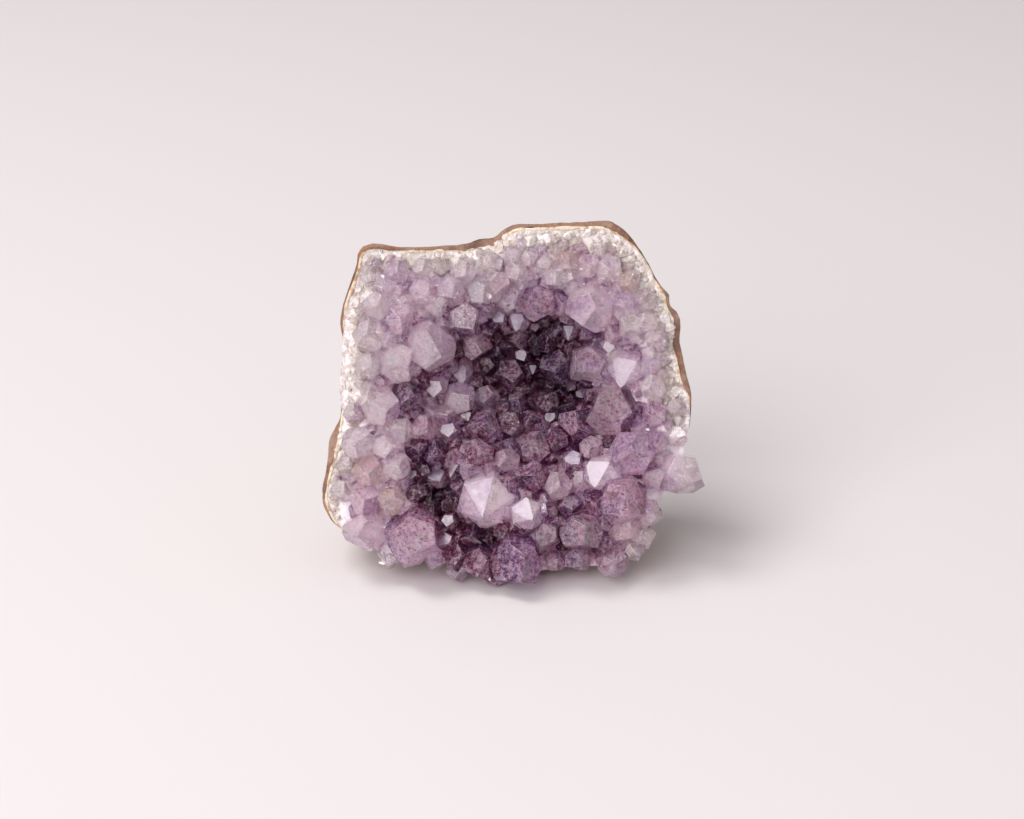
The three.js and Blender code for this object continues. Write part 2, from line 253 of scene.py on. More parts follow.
floor_mesh = bpy.data.meshes.new("floor")
floor_corners = [(x * FLOOR_HALF, y * FLOOR_HALF, 0) for x, y in ((-1, -1), (1, -1), (1, 1), (-1, 1))]
floor_mesh.from_pydata(floor_corners, [], [(0, 1, 2, 3)])
floor = bpy.data.objects.new("floor", floor_mesh)
scene.collection.objects.link(floor)
paper = Finish("pale_paper")
floor_mesh.materials.append(paper.finish(paper.principled(Base_Color=linear(225, 219, 220), Roughness=0.7)))

world = bpy.data.worlds.new("studio")
world.use_nodes = True
sky_tree = world.node_tree
sky_tree.nodes["Background"].inputs["Color"].default_value = linear(250, 246, 247)
sky_tree.nodes["Background"].inputs["Strength"].default_value = SKY
scene.world = world


def panel(name, direction, distance, size, watts, colour):
    """A square light that faces the piece."""
    data = bpy.data.lights.new(name, "AREA")
    data.size = size
    data.energy = watts
    data.color = colour
    lamp = bpy.data.objects.new(name, data)
    lamp.location = distance * direction.normalized()
    lamp.rotation_euler = direction.to_track_quat("Z", "Y").to_euler()
    scene.collection.objects.link(lamp)
    return lamp


softbox = panel("softbox", KEY_DIRECTION, KEY_DISTANCE, KEY_SIZE, KEY_WATTS, (1, 0.985, 0.975))
panel("window", Vector((-0.6, -0.9, 0.7)), 1.8, 1.4, WINDOW_WATTS, (1, 0.985, 0.98))
scene.view_settings.view_transform = "Standard"
scene.cycles.max_bounces = 20
scene.cycles.transmission_bounces = 16
scene.cycles.diffuse_bounces = 6
scene.cycles.sample_clamp_indirect = 0
print("softbox at", tuple(round(value, 2) for value in softbox.location))

# %% [markdown]
# The wall of the geode is a set of thin bowls, one inside the other. Their edge is where the
# piece broke out, so it's the same closed outline that the imported model has: a smooth curve
# through listed points, each with the width of host rock that shows there. A bowl is then only
# a depth below every point of the face.

# %% The broken edge and the depth of the wall
EDGE = (
    (-32.2, 32.5, 0.8), (-29.5, 33.7, 0.9), (-24, 33.1, 0.7), (-15, 33.3, 0.8), (-10, 33.8, 1.3),
    (-7, 34.9, 1.9), (-4, 35.2, 2.1), (-2, 36.8, 2.1), (1, 38.1, 1.1), (7, 38.2, 1.0),
    (13, 38.4, 1.1), (19.5, 38.8, 1.6), (22, 37.8, 1.4), (25, 35.1, 0.5), (28, 31.4, 0.3),
    (30.4, 27.1, 0.3), (32, 24.5, 0.6), (33.2, 23.3, 1.0), (33.5, 21, 0.9), (35.3, 19.3, 1.7),
    (35.9, 17, 2.1), (35.7, 13, 1.9), (36.4, 9.5, 1.5), (37.2, 5, 1.4), (37.9, 2, 0.5),
    (38.2, -1.5, 0.2), (37.6, -6, 0.1), (35.8, -12, 0), (33, -18.5, 0), (29.3, -24, 0),
    (25.8, -30, 0), (20, -34, 0), (10, -34.8, 0), (0, -36, 0), (-10, -34.4, 0),
    (-18, -32.6, 0), (-26, -32, 0), (-32, -29.6, 0), (-37.4, -26, 0.3), (-39.9, -22, 0.8),
    (-40.2, -18.6, 0.8), (-39.4, -14.4, 1.0), (-39, -10.5, 1.7), (-38.6, -7.6, 2.0), (-37.5, -4.8, 1.1),
    (-36.5, -2.5, 0.3), (-36.5, 3, 0), (-36.2, 8, 0), (-36, 14, 0.1), (-36.3, 18.2, 0.5),
    (-35.5, 22, 0.5), (-34.4, 25.4, 0.8), (-33, 29.4, 0.7),
)
HUB = np.array((0.5, -1))
SPOKES = 260
RIND_LEAST = 0.4
RIND_BACK = 2.6
CHIP_DEPTH = 2.5
CHALCEDONY = 0.55
BACK_DEPTH = 24
BACK_SLOPE = -0.32


def smooth_closed(points, per_span=16):
    """A closed Catmull-Rom curve through points."""
    here = np.asarray(points, float)
    before = np.roll(here, 1, 0)
    after = np.roll(here, -1, 0)
    beyond = np.roll(here, -2, 0)
    t = (np.arange(per_span) / per_span)[:, None, None]
    bend = (2 * before - 5 * here + 4 * after - beyond) * t**2
    twist = (3 * here - before - 3 * after + beyond) * t**3
    curve = 0.5 * (2 * here + (after - before) * t + bend + twist)
    return curve.transpose(1, 0, 2).reshape(-1, here.shape[1])


def evenly_spaced(curve, count):
    """Points at equal distances along a closed curve."""
    closed = np.vstack((curve, curve[:1]))
    steps = np.linalg.norm(np.diff(closed[:, :2], axis=0), axis=1)
    along = np.concatenate(((0,), np.cumsum(steps)))
    wanted = np.linspace(0, along[-1], count, endpoint=False)
    return np.stack([np.interp(wanted, along, closed[:, k]) for k in range(closed.shape[1])], 1)


edge = evenly_spaced(smooth_closed(EDGE), SPOKES)
edge_arm = edge[:, :2] - HUB
edge_length = np.linalg.norm(edge_arm, axis=1)
edge_angle = np.arctan2(edge_arm[:, 1], edge_arm[:, 0])


def edge_distance(u, v):
    """How far a point of the face is inside the broken edge."""
    reach = np.interp(np.arctan2(v - HUB[1], u - HUB[0]), edge_angle, edge_length, period=2 * math.pi)
    return reach - np.hypot(u - HUB[0], v - HUB[1])


def bed_height(u, v):
    """The bed that the crystals grow from: a shelf, a deep hollow, a swelling and a pocket."""
    hollow = 13 * np.exp(-((((u - 5) / 18) ** 2 + ((v - 7) / 14) ** 2) ** 1.2))
    swelling = 4 * np.exp(-(((u - 4) / 26) ** 2) - ((v + 22) / 11) ** 2)
    pocket = 5 * np.exp(-(((u + 15) / 5) ** 2) - ((v + 19) / 4) ** 2)
    shelf = 1.5 * np.exp(-((np.hypot(u / 1.02, v) - 29) ** 2) / 30)
    return shelf + swelling - hollow - pocket


def break_height(u, v):
    """The broken surface of the wall along its edge."""
    return 0.5 * np.sin(0.31 * u + 0.5) + 0.4 * np.sin(0.27 * v - 0.17 * u)


print("edge runs for", round(float(np.linalg.norm(np.diff(edge[:, :2], axis=0), axis=1).sum())), "mm")

# %% [markdown]
# A bowl's surface is a net of spokes and rings. One function gives the net at a chosen distance
# inside the outer surface, another closes nets and poles into a solid, and a last one cuts the
# solid flat where it stands. The cut uses Blender's Manifold solver, which keeps a closed mesh
# closed.


# %% Helpers that make a layer of the wall
def wall_net(inset, backs):
    """Rings of a bowl's surface: inset(back) is its depth under the outer surface."""
    rings = []
    for back in backs:
        depth = inset(back)
        reach = math.sqrt(max(0, math.cos(back * math.pi / 2)))
        scale = reach * (edge_length - depth) / edge_length
        flat = HUB + edge_arm * scale[:, None]
        fall = (BACK_DEPTH + BACK_SLOPE * flat[:, 1] - depth) * math.sin(back * math.pi / 2)
        rings.append(np.column_stack((flat, -fall)))
    return rings


def close_rings(rings, start, end):
    """One closed mesh from a pole, rings of points and a second pole."""
    count = len(rings[0])
    points = np.vstack([start[None]] + rings + [end[None]])
    faces = []
    for k in range(count):
        following = (k + 1) % count
        faces.append((0, 1 + following, 1 + k))
        for ring in range(len(rings) - 1):
            base = 1 + ring * count
            faces.append((base + k, base + following, base + count + following, base + count + k))
        last = 1 + (len(rings) - 1) * count
        faces.append((last + k, last + following, len(points) - 1))
    return points, faces


def add_mesh(name, points, faces, material=None):
    """A new object from points in metres, linked to the scene, with its normals facing out."""
    mesh = bpy.data.meshes.new(name)
    mesh.from_pydata(np.asarray(points).tolist(), [], faces)
    shape = bmesh.new()
    shape.from_mesh(mesh)
    bmesh.ops.recalc_face_normals(shape, faces=shape.faces)
    shape.to_mesh(mesh)
    shape.free()
    piece = bpy.data.objects.new(name, mesh)
    scene.collection.objects.link(piece)
    if material is not None:
        mesh.materials.append(material)
    return piece


def combine(piece, other, operation):
    """Join a piece with, or cut it by, an object or a collection, and remove what was used."""
    boolean = piece.modifiers.new("combine", "BOOLEAN")
    boolean.operation = operation
    boolean.solver = "MANIFOLD"
    group = isinstance(other, bpy.types.Collection)
    boolean.operand_type = "COLLECTION" if group else "OBJECT"
    setattr(boolean, "collection" if group else "object", other)
    graph = bpy.context.evaluated_depsgraph_get()
    made = bpy.data.meshes.new_from_object(piece.evaluated_get(graph))
    piece.modifiers.clear()
    old = piece.data
    made.name = old.name
    piece.data = made
    bpy.data.meshes.remove(old)
    for used in list(other.objects) if group else [other]:
        bpy.data.objects.remove(used)
    return piece


def cut_base(piece):
    """Cut a piece flat where it stands."""
    x, y, z = 0.1, 0.1, 0.05
    corners = [(a * x, b * y, c) for a in (-1, 1) for b in (-1, 1) for c in (-z, 0)]
    sides = [(0, 1, 3, 2), (4, 6, 7, 5), (0, 4, 5, 1), (2, 3, 7, 6), (0, 2, 6, 4), (1, 5, 7, 3)]
    return combine(piece, add_mesh("ground", corners, sides), "DIFFERENCE")


def displace(piece, amount):
    """Move every point of a piece along its normal by amount(point in mm), in mm."""
    mesh = piece.data
    count = len(mesh.vertices)
    places = np.empty(count * 3)
    mesh.vertices.foreach_get("co", places)
    normals = np.empty(count * 3, dtype=np.float32)
    mesh.vertex_normals.foreach_get("vector", normals)
    places = places.reshape(-1, 3)
    shift = np.array([amount(Vector(place / MM)) for place in places])
    places += normals.reshape(-1, 3) * shift[:, None] * MM
    mesh.vertices.foreach_set("co", places.ravel())
    mesh.update()


def shade_smooth(piece):
    piece.data.shade_smooth()


# %% [markdown]
# The host rock is weathered basalt: a thin brown crust with pits and lumps, rust stains and a
# few darker and greener patches. Its lumps are real geometry, because they show in the outline,
# and they fade towards the thin broken edge, which they would tear. The finer pits come from
# bump. Along the bottom and the lower right the rock has chipped off, so its edge sits lower
# there and the quartz reaches the outline.

# %% The host rock rind
rind_at_edge = np.maximum(0.9 * edge[:, 2], RIND_LEAST)
rind_missing = np.maximum(0, RIND_LEAST - edge[:, 2]) / RIND_LEAST
RIM_STEPS = 5
WALL_BACKS = np.linspace(0.03, 0.97, 56)


def rind_width(back):
    return rind_at_edge + (RIND_BACK - rind_at_edge) * back**0.7


def bare(back):
    """1 along the edge where the rock has chipped off, 0 where it's whole and everywhere behind."""
    return rind_missing * max(0, 1 - 6 * back)


def layer(name, inner, outer, top, material):
    """A closed thin bowl between two depths, with its broken rim at top."""
    inside = wall_net(inner, WALL_BACKS[::-1])
    outside = wall_net(outer, WALL_BACKS)
    rim = []
    for step in range(RIM_STEPS + 1):
        share = step / RIM_STEPS
        depth = inner(0) * (1 - share) + outer(0) * share
        flat = HUB + edge_arm * ((edge_length - depth) / edge_length)[:, None]
        rim.append(np.column_stack((flat, top(flat[:, 0], flat[:, 1]))))
    first = np.array((*HUB, -(BACK_DEPTH + BACK_SLOPE * HUB[1] - np.max(inner(1)))))
    last = np.array((*HUB, -(BACK_DEPTH + BACK_SLOPE * HUB[1] - np.max(outer(1)))))
    points, faces = close_rings(inside + rim + outside, first, last)
    return add_mesh(name, upright(points), faces, material)


def rock_lumps(place):
    """Lumps and pits of the weathered rock, in millimetres."""
    broad = noise.noise(place / 9) * 1.1
    middle = noise.noise(place / 3.2) * 0.5
    fine = noise.fractal(place / 1.1, 0.6, 2.1, 3) * 0.25
    return broad + middle + fine


def lump_share(place):
    """How strong the lumps are: weak along the thin broken edge, strong behind it."""
    behind = -float((np.array(place) - FACE_CENTRE) @ FACE_AXES[2])
    return 0.4 + 0.5 * min(1, max(0, (behind - 1) / 4))


weathered = Finish("weathered_basalt")
patches = weathered.noise(140, 6, 0.62)
stain = weathered.noise(420, 5, 0.6)
grain = weathered.noise(1900, 4, 0.7)
across = weathered.node("ShaderNodeSeparateXYZ", inputs={0: weathered.place()}, output="X")
# Towards the right-hand end, past about 30 mm, the brown turns a shade darker.
brown = weathered.ramp(patches - weathered.steps(across, 0.024, 0.036) * 0.1, [
    (0.3, linear(104, 78, 67)), (0.43, linear(132, 101, 88)), (0.5, linear(166, 134, 118)),
    (0.58, linear(148, 117, 101)), (0.7, linear(124, 108, 95)),
])
rusty = weathered.mix(weathered.steps(stain, 0.48, 0.66) * 0.8, brown, linear(164, 116, 92))
speckled = weathered.mix(weathered.steps(grain, 0.58, 0.7) * 0.55, rusty, linear(62, 46, 40))
pits = weathered.noise(700, 6, 0.65) * 0.6 + weathered.noise(2600, 3, 0.6) * 0.25
weathered_surface = weathered.principled(
    Base_Color=speckled,
    Roughness=0.72 + stain * 0.25,
    Normal=weathered.bump(pits, 0.0011, 0.9),
)
rind_material = weathered.finish(weathered_surface)


def rind_top(u, v):
    return break_height(u, v) - CHIP_DEPTH * rind_missing


rind = layer("host_rock_rind_surface", rind_width, lambda back: 0.3 * bare(back), rind_top, rind_material)
displace(rind, lambda place: rock_lumps(place) * lump_share(place))
cut_base(rind)
shade_smooth(rind)
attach(rind, "root")
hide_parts("host_rock_rind")
print("host rock faces", len(rind.data.polygons))

# %% [markdown]
# Chalcedony is a cream layer no thicker than a fingernail, waxy and faintly banded along the
# edge. It's the next bowl inwards. A little subsurface scattering gives the wax, which paint on
# a hard surface would miss.

# %% The chalcedony band
waxy = Finish("waxy_chalcedony")
bands = waxy.noise(600, 3, 0.5)
cream = waxy.ramp(bands, [
    (0.35, linear(188, 150, 120)), (0.46, linear(222, 202, 176)), (0.53, linear(232, 217, 197)),
    (0.62, linear(204, 172, 138)),
])
waxy_surface = waxy.principled(
    Base_Color=cream,
    Roughness=0.35 + bands * 0.2,
    Subsurface_Weight=0.25,
    Subsurface_Radius=(0.002, 0.0014, 0.001),
    Subsurface_Scale=0.5,
    Normal=waxy.bump(waxy.noise(2400, 3, 0.6), 0.0002, 0.5),
)
chalcedony_material = waxy.finish(waxy_surface)
chalcedony = layer(
    "chalcedony_band_surface",
    lambda back: rind_width(back) + CHALCEDONY,
    lambda back: rind_width(back) - 0.05,
    lambda u, v: break_height(u, v) + 0.1 - 0.6 * CHIP_DEPTH * rind_missing,
    chalcedony_material,
)
displace(chalcedony, lambda place: noise.noise(place / 2.5) * 0.3)
cut_base(chalcedony)
shade_smooth(chalcedony)
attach(chalcedony, "root")
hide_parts("chalcedony_band")
print("chalcedony faces", len(chalcedony.data.polygons))

# %% [markdown]
# Under the crystals lies a bed of milky quartz, which shows along the edge as a white granular
# band and everywhere else through the crystals. It's a closed solid whose front follows the
# bed's height, with small angular grains pushed out of it. Its colour turns from white at the
# edge to dark violet in the hollow, whose outline is a closed curve with softer patches of more
# or less violet. The dark violet is partly the colour of the quartz and partly painted shade of
# the deep hollow and of the gaps between crystals. The shader reads the sum from a value stored
# at each point. A pale bed matters more than it seems, because the clear crystals are lit mostly
# by what lies under them.

# %% The quartz bed
BED_RINGS = 80
BED_SINK = 1.6
PALE = 0.14
# The level in the hollow: deep violet, and partly painted shade of the hollow.
HOLLOW_VIOLET_AND_SHADE = 0.44
HOLLOW_HUB = np.array((2, -3))
HOLLOW_EDGE = (
    (-14, 21), (-9, 21.8), (-4, 22), (1, 20.5), (5, 19), (9, 19.5), (13, 17.5), (18, 16),
    (24, 15.6), (28.5, 12), (29, 6), (31, 1), (33, -5), (31, -12), (30, -17), (28, -22), (25, -27),
    (20, -32), (12, -38), (0, -40), (-8, -38), (-12, -33), (-14, -30), (-16, -27), (-20, -22),
    (-23, -18), (-23, -12.6), (-21, -7), (-22.6, -1.6), (-25, 4), (-20, 7.5), (-16, 10), (-14, 14),
    (-14.5, 18),
)
# Soft patches of deeper or paler violet, each a u, a v, a radius and a height. The deeper ones in the hollow,
# in the gap at the lower left and along the bottom also paint shade.
TINT_PATCHES = (
    (8, 13, 7, 0.4), (11, 2, 5, 0.45), (2, 2, 6, 0.2), (-4, 8, 4, 0.2), (-3, 12, 4, 0.2),
    (13, 19, 2, 0.2), (-22.5, 1.6, 3, 0.2), (-10.7, 18.7, 3, -0.14), (-12, 3, 4, -0.15),
    (-8, 16, 4, -0.05), (1, 18, 3, -0.1), (22, 9, 6, -0.25), (26, 0, 5, -0.1), (30, -8, 5, -0.1),
    (24, 17, 4, -0.1), (30.6, 3.5, 3, -0.2), (-15.6, -9.3, 3, 0.2), (-16, -20, 5, 0.35),
    (-20, -12, 4, 0.1), (-11, -25, 3, 0.3), (-7, -28.5, 3, 0.4), (-2, -28.4, 3, 0.3), (6, -29, 3, 0.3),
    (10.3, -22.3, 2, 0.4), (11, -28, 3, 0.3), (-6, -20.6, 4, -0.4), (3, -22.6, 3, -0.4),
    (0, -16, 5, -0.1), (19, -14.5, 5, -0.3), (24, -21, 6, -0.1), (18, -8, 4, 0.1), (0, -36, 6, -0.1),
    (-18.5, 12, 6, 0.14), (-24, 5, 4, 0.12), (-24, 18, 4, 0.06), (17, 22, 5.5, 0.14), (5, 22.7, 4, 0.14),
    (17, 8.5, 4, -0.25), (-3, 27, 7, -0.08), (8, 29, 6, -0.08), (20, 25, 6, -0.04), (-31, -26, 5, 0.08),
    (-20.4, -27.2, 5, 0.12), (22, -2, 4, 0.2), (4, -10, 8, 0.14), (16, -30, 5, 0.18), (17, 3, 4, 0.08),
    (-24, -16, 4, 0.1), (-21, -27, 5, 0.12), (-15, -34, 5, 0.1), (26, -30, 5, -0.1), (35, -14, 5, 0.12),
)


def store(mesh, name, values, domain="POINT"):
    attribute = mesh.attributes.get(name) or mesh.attributes.new(name, "FLOAT", domain)
    attribute.data.foreach_set("value", np.asarray(values, dtype=np.float32))


def face_places(mesh):
    """The mesh's points in u, v, w millimetres."""
    places = np.empty(len(mesh.vertices) * 3)
    mesh.vertices.foreach_get("co", places)
    return (places.reshape(-1, 3) / MM - FACE_CENTRE) @ FACE_AXES.T


def quartz_grains(u, v):
    """Angular grains on the bed's front, in millimetres."""
    near, far = noise.voronoi(Vector((u, v, 0)) / 1.5)[0][:2]
    return 0.7 * (0.5 - near) + 0.25 * noise.noise(Vector((u, v, 7)) / 2)


def smooth_step(share):
    share = np.clip(share, 0, 1)
    return share * share * (3 - 2 * share)


def bumps(u, v, places):
    """The sum of round bumps, each a u, a v, a radius and a height."""
    return sum(
        height * np.exp(-(((u - x) / radius) ** 2) - ((v - y) / radius) ** 2)
        for x, y, radius, height in places
    )


hollow_arm = smooth_closed(HOLLOW_EDGE) - HOLLOW_HUB
hollow_length = np.linalg.norm(hollow_arm, axis=1)
hollow_angle = np.arctan2(hollow_arm[:, 1], hollow_arm[:, 0])


def open_side(u, v):
    """1 along the bottom and the lower right, where crystals reach the broken edge, 0 elsewhere."""
    bottom = smooth_step((-v - 16) / 8) * smooth_step((u + 39) / 6)
    right = smooth_step((u - 24) / 6) * smooth_step((-v - 2) / 5)
    left = 0.3 * smooth_step((4 - v) / 6) * smooth_step(-u / 20)
    return np.maximum(np.maximum(bottom, right), left)


def violet_and_hollow_shade(u, v):
    """How deep the violet and the hollow's painted shade are at a point, from 0 at the edge to 1 in the
    hollow.
    """
    bearing = np.arctan2(v - HOLLOW_HUB[1], u - HOLLOW_HUB[0])
    reach = np.interp(bearing, hollow_angle, hollow_length, period=2 * math.pi)
    inside = smooth_step((reach - np.hypot(u - HOLLOW_HUB[0], v - HOLLOW_HUB[1]) + 1.5) / 3)
    coloured = smooth_step((edge_distance(u, v) + 8 * open_side(u, v) - 4) / 5)
    return coloured * np.clip(PALE + (HOLLOW_VIOLET_AND_SHADE - PALE) * inside + bumps(u, v, TINT_PATCHES), 0, 1)


def quartz_front(u, v):
    inside = edge_distance(u, v)
    blend = smooth_step(inside / 5)
    sunk = bed_height(u, v) - BED_SINK * smooth_step((inside - 5) / 6)
    return break_height(u, v) * (1 - blend) + sunk * blend


def quartz_inset(back):
    return (rind_width(back) + CHALCEDONY - 0.05) * (1 - bare(back))


front = []
for share in np.linspace(1 / BED_RINGS, 1, BED_RINGS):
    flat = HUB + edge_arm * (share * (edge_length - quartz_inset(0)) / edge_length)[:, None]
    grains = np.array([quartz_grains(u, v) for u, v in flat]) * min(1, (1 - share) * 25 + 0.2)
    front.append(np.column_stack((flat, quartz_front(flat[:, 0], flat[:, 1]) + grains)))
middle = np.array((*HUB, float(quartz_front(*HUB))))
deepest = np.array((*HUB, -(BACK_DEPTH + BACK_SLOPE * HUB[1] - RIND_BACK - CHALCEDONY)))
bed_points, bed_faces = close_rings(front + wall_net(quartz_inset, WALL_BACKS[::3]), middle, deepest)

milky = Finish("milky_quartz")
depth = milky.attribute("violet")
cloud = milky.noise(380, 5, 0.6)
cell = milky.cells(800)
speckle = milky.noise(1500, 4, 0.7)
# The near-black stops at the violet end paint the shade of the deep hollow as well as its colour.
milky_violet_and_shade = milky.ramp(depth + 0.12 + (cell - 0.5) * 0.2 + (speckle - 0.5) * 0.5, [
    (0.0, linear(212, 200, 194)), (0.06, linear(196, 182, 175)), (0.13, linear(216, 204, 201)),
    (0.2, linear(250, 240, 246)), (0.4, linear(248, 232, 243)), (0.6, linear(214, 180, 200)),
    (0.75, linear(150, 96, 128)), (0.88, linear(80, 32, 58)), (1.0, linear(40, 8, 24)),
])
milky_surface = milky.principled(
    Base_Color=milky_violet_and_shade,
    Roughness=0.25 + cloud * 0.3,
    Normal=milky.bump(milky.noise(1500, 4, 0.6), 0.0003, 0.6),
)
bed = add_mesh("quartz_bed", upright(bed_points), bed_faces, milky.finish(milky_surface))
cut_base(bed)
store(bed.data, "violet", violet_and_hollow_shade(*face_places(bed.data)[:, :2].T))
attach(bed, "root")
print("quartz bed faces", len(bed.data.polygons))

# %% [markdown]
# A quartz crystal is a six-sided prism with a six-faced point. Its faces always stand at the same
# angles, and only their distances from the middle differ, so each crystal is built as the body
# that its thirteen planes enclose. The corners are all the places where three planes meet and
# that lie behind the others. That gives true angles to every crystal, however uneven it is.

# %% The shape of one crystal
PYRAMID_TILT = math.radians(51.8)
TRIPLES = np.array(list(itertools.combinations(range(13), 3)))
SIDE_ANGLES = np.radians(np.arange(6) * 60)
PRISM = np.column_stack((np.cos(SIDE_ANGLES), np.sin(SIDE_ANGLES), np.zeros(6)))
POINT = PRISM * math.sin(PYRAMID_TILT) + np.array((0, 0, math.cos(PYRAMID_TILT)))
PLANES = np.vstack((PRISM, POINT, ((0, 0, -1),)))
SAME_CORNER = 0.03


def crystal_body(sides, points, root):
    """The corners of the body inside six sides, six point faces and a cut-off root."""
    reach = np.concatenate((sides, points, (root,)))
    normals = PLANES[TRIPLES]
    usable = np.abs(np.linalg.det(normals)) > 1e-6
    corners = np.linalg.solve(normals[usable], reach[TRIPLES][usable][..., None])[..., 0]
    corners = corners[(corners @ PLANES.T <= reach + 1e-6).all(1)]
    apart = np.linalg.norm(corners[:, None] - corners[None], axis=2)
    return corners[np.unique((apart < SAME_CORNER).argmax(1))]


def numbers(seed):
    """A repeatable sequence of numbers from 0 to 1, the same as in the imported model."""
    mask = 0xFFFFFFFF
    state = seed
    while True:
        state = (state + 0x6D2B79F5) & mask
        t = state
        t = ((t ^ (t >> 15)) * (1 | t)) & mask
        t = ((t + (((t ^ (t >> 7)) * (61 | t)) & mask)) & mask) ^ t
        yield ((t ^ (t >> 14)) & mask) / 4294967296


print("a plain crystal has", len(crystal_body(np.ones(6), np.full(6, math.sin(PYRAMID_TILT)), 2)), "corners")

# %% [markdown]
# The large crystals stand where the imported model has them. Some turn a face to the direction
# that mirrors the softbox to the camera, or in the upper hollow, where the wall hides the
# softbox, to the one that mirrors the window, and those flash white. The others lean a little on
# the bed. Each of them is turned about its axis until none of its faces flashes by chance.

# %% Where the large crystals stand
def unit(vector):
    return np.asarray(vector, float) / np.linalg.norm(vector)


SHARED_FACE = unit((-0.27, 0.52, 0.81))
WINDOW_FACE = unit((-0.24, 0.13, 0.96))
FLASH_ANGLE = math.radians(13)
SHOULDER = 0.2
WINDOW_FROM = 2
SINK = -0.25
ROOT = 3
FOLLOW_BED = 0.75
SEED = 23
FACING = (
    (-5.4, -20.6, 5.6, -76, 0), (3, -23, 3.5, -55, 0.3), (19, -15.2, 3.9, -90, 0.2),
    (13, -12.2, 2.3, -50, 0.6), (1.5, 17.8, 2.4, -90, 0.3), (12.6, 15.4, 2.1, -90, 0),
    (21, 12.4, 1.5, -90, 0.8), (-10.8, 6.5, 2.3, -70, 0.3), (2.2, 10.5, 1.7, -65, 0.6),
    (24.8, 7.6, 4.2, -100, 0.3), (-16, -15.4, 2.5, -60, 0.8), (29.8, -19.2, 1.9, -60, 0.8),
    (8.6, -3.4, 1.6, -90, 0.5), (-13.1, -5.9, 2.2, -80, 0.5), (4.7, 7.4, 1.3, -90, 0.5),
    (-2.9, 18.6, 1.8, -50, 0.8), (-0.9, 22.4, 1.4, -90, 0.8), (-16, 3.8, 2.4, -90, 0.8),
    (-13, -24.6, 1.8, -90, 0.8), (-13.4, -28.8, 2, -120, 0.8), (-20.8, -15, 1.4, -90, 1),
    (14.9, 1.6, 1.4, -60, 0.6), (-4.6, 20.9, 1.2, -90, 0.6), (-12.1, -14.4, 2, -90, 0.2),
    (-20.3, -2.4, 1.3, -80, 0.6),
)
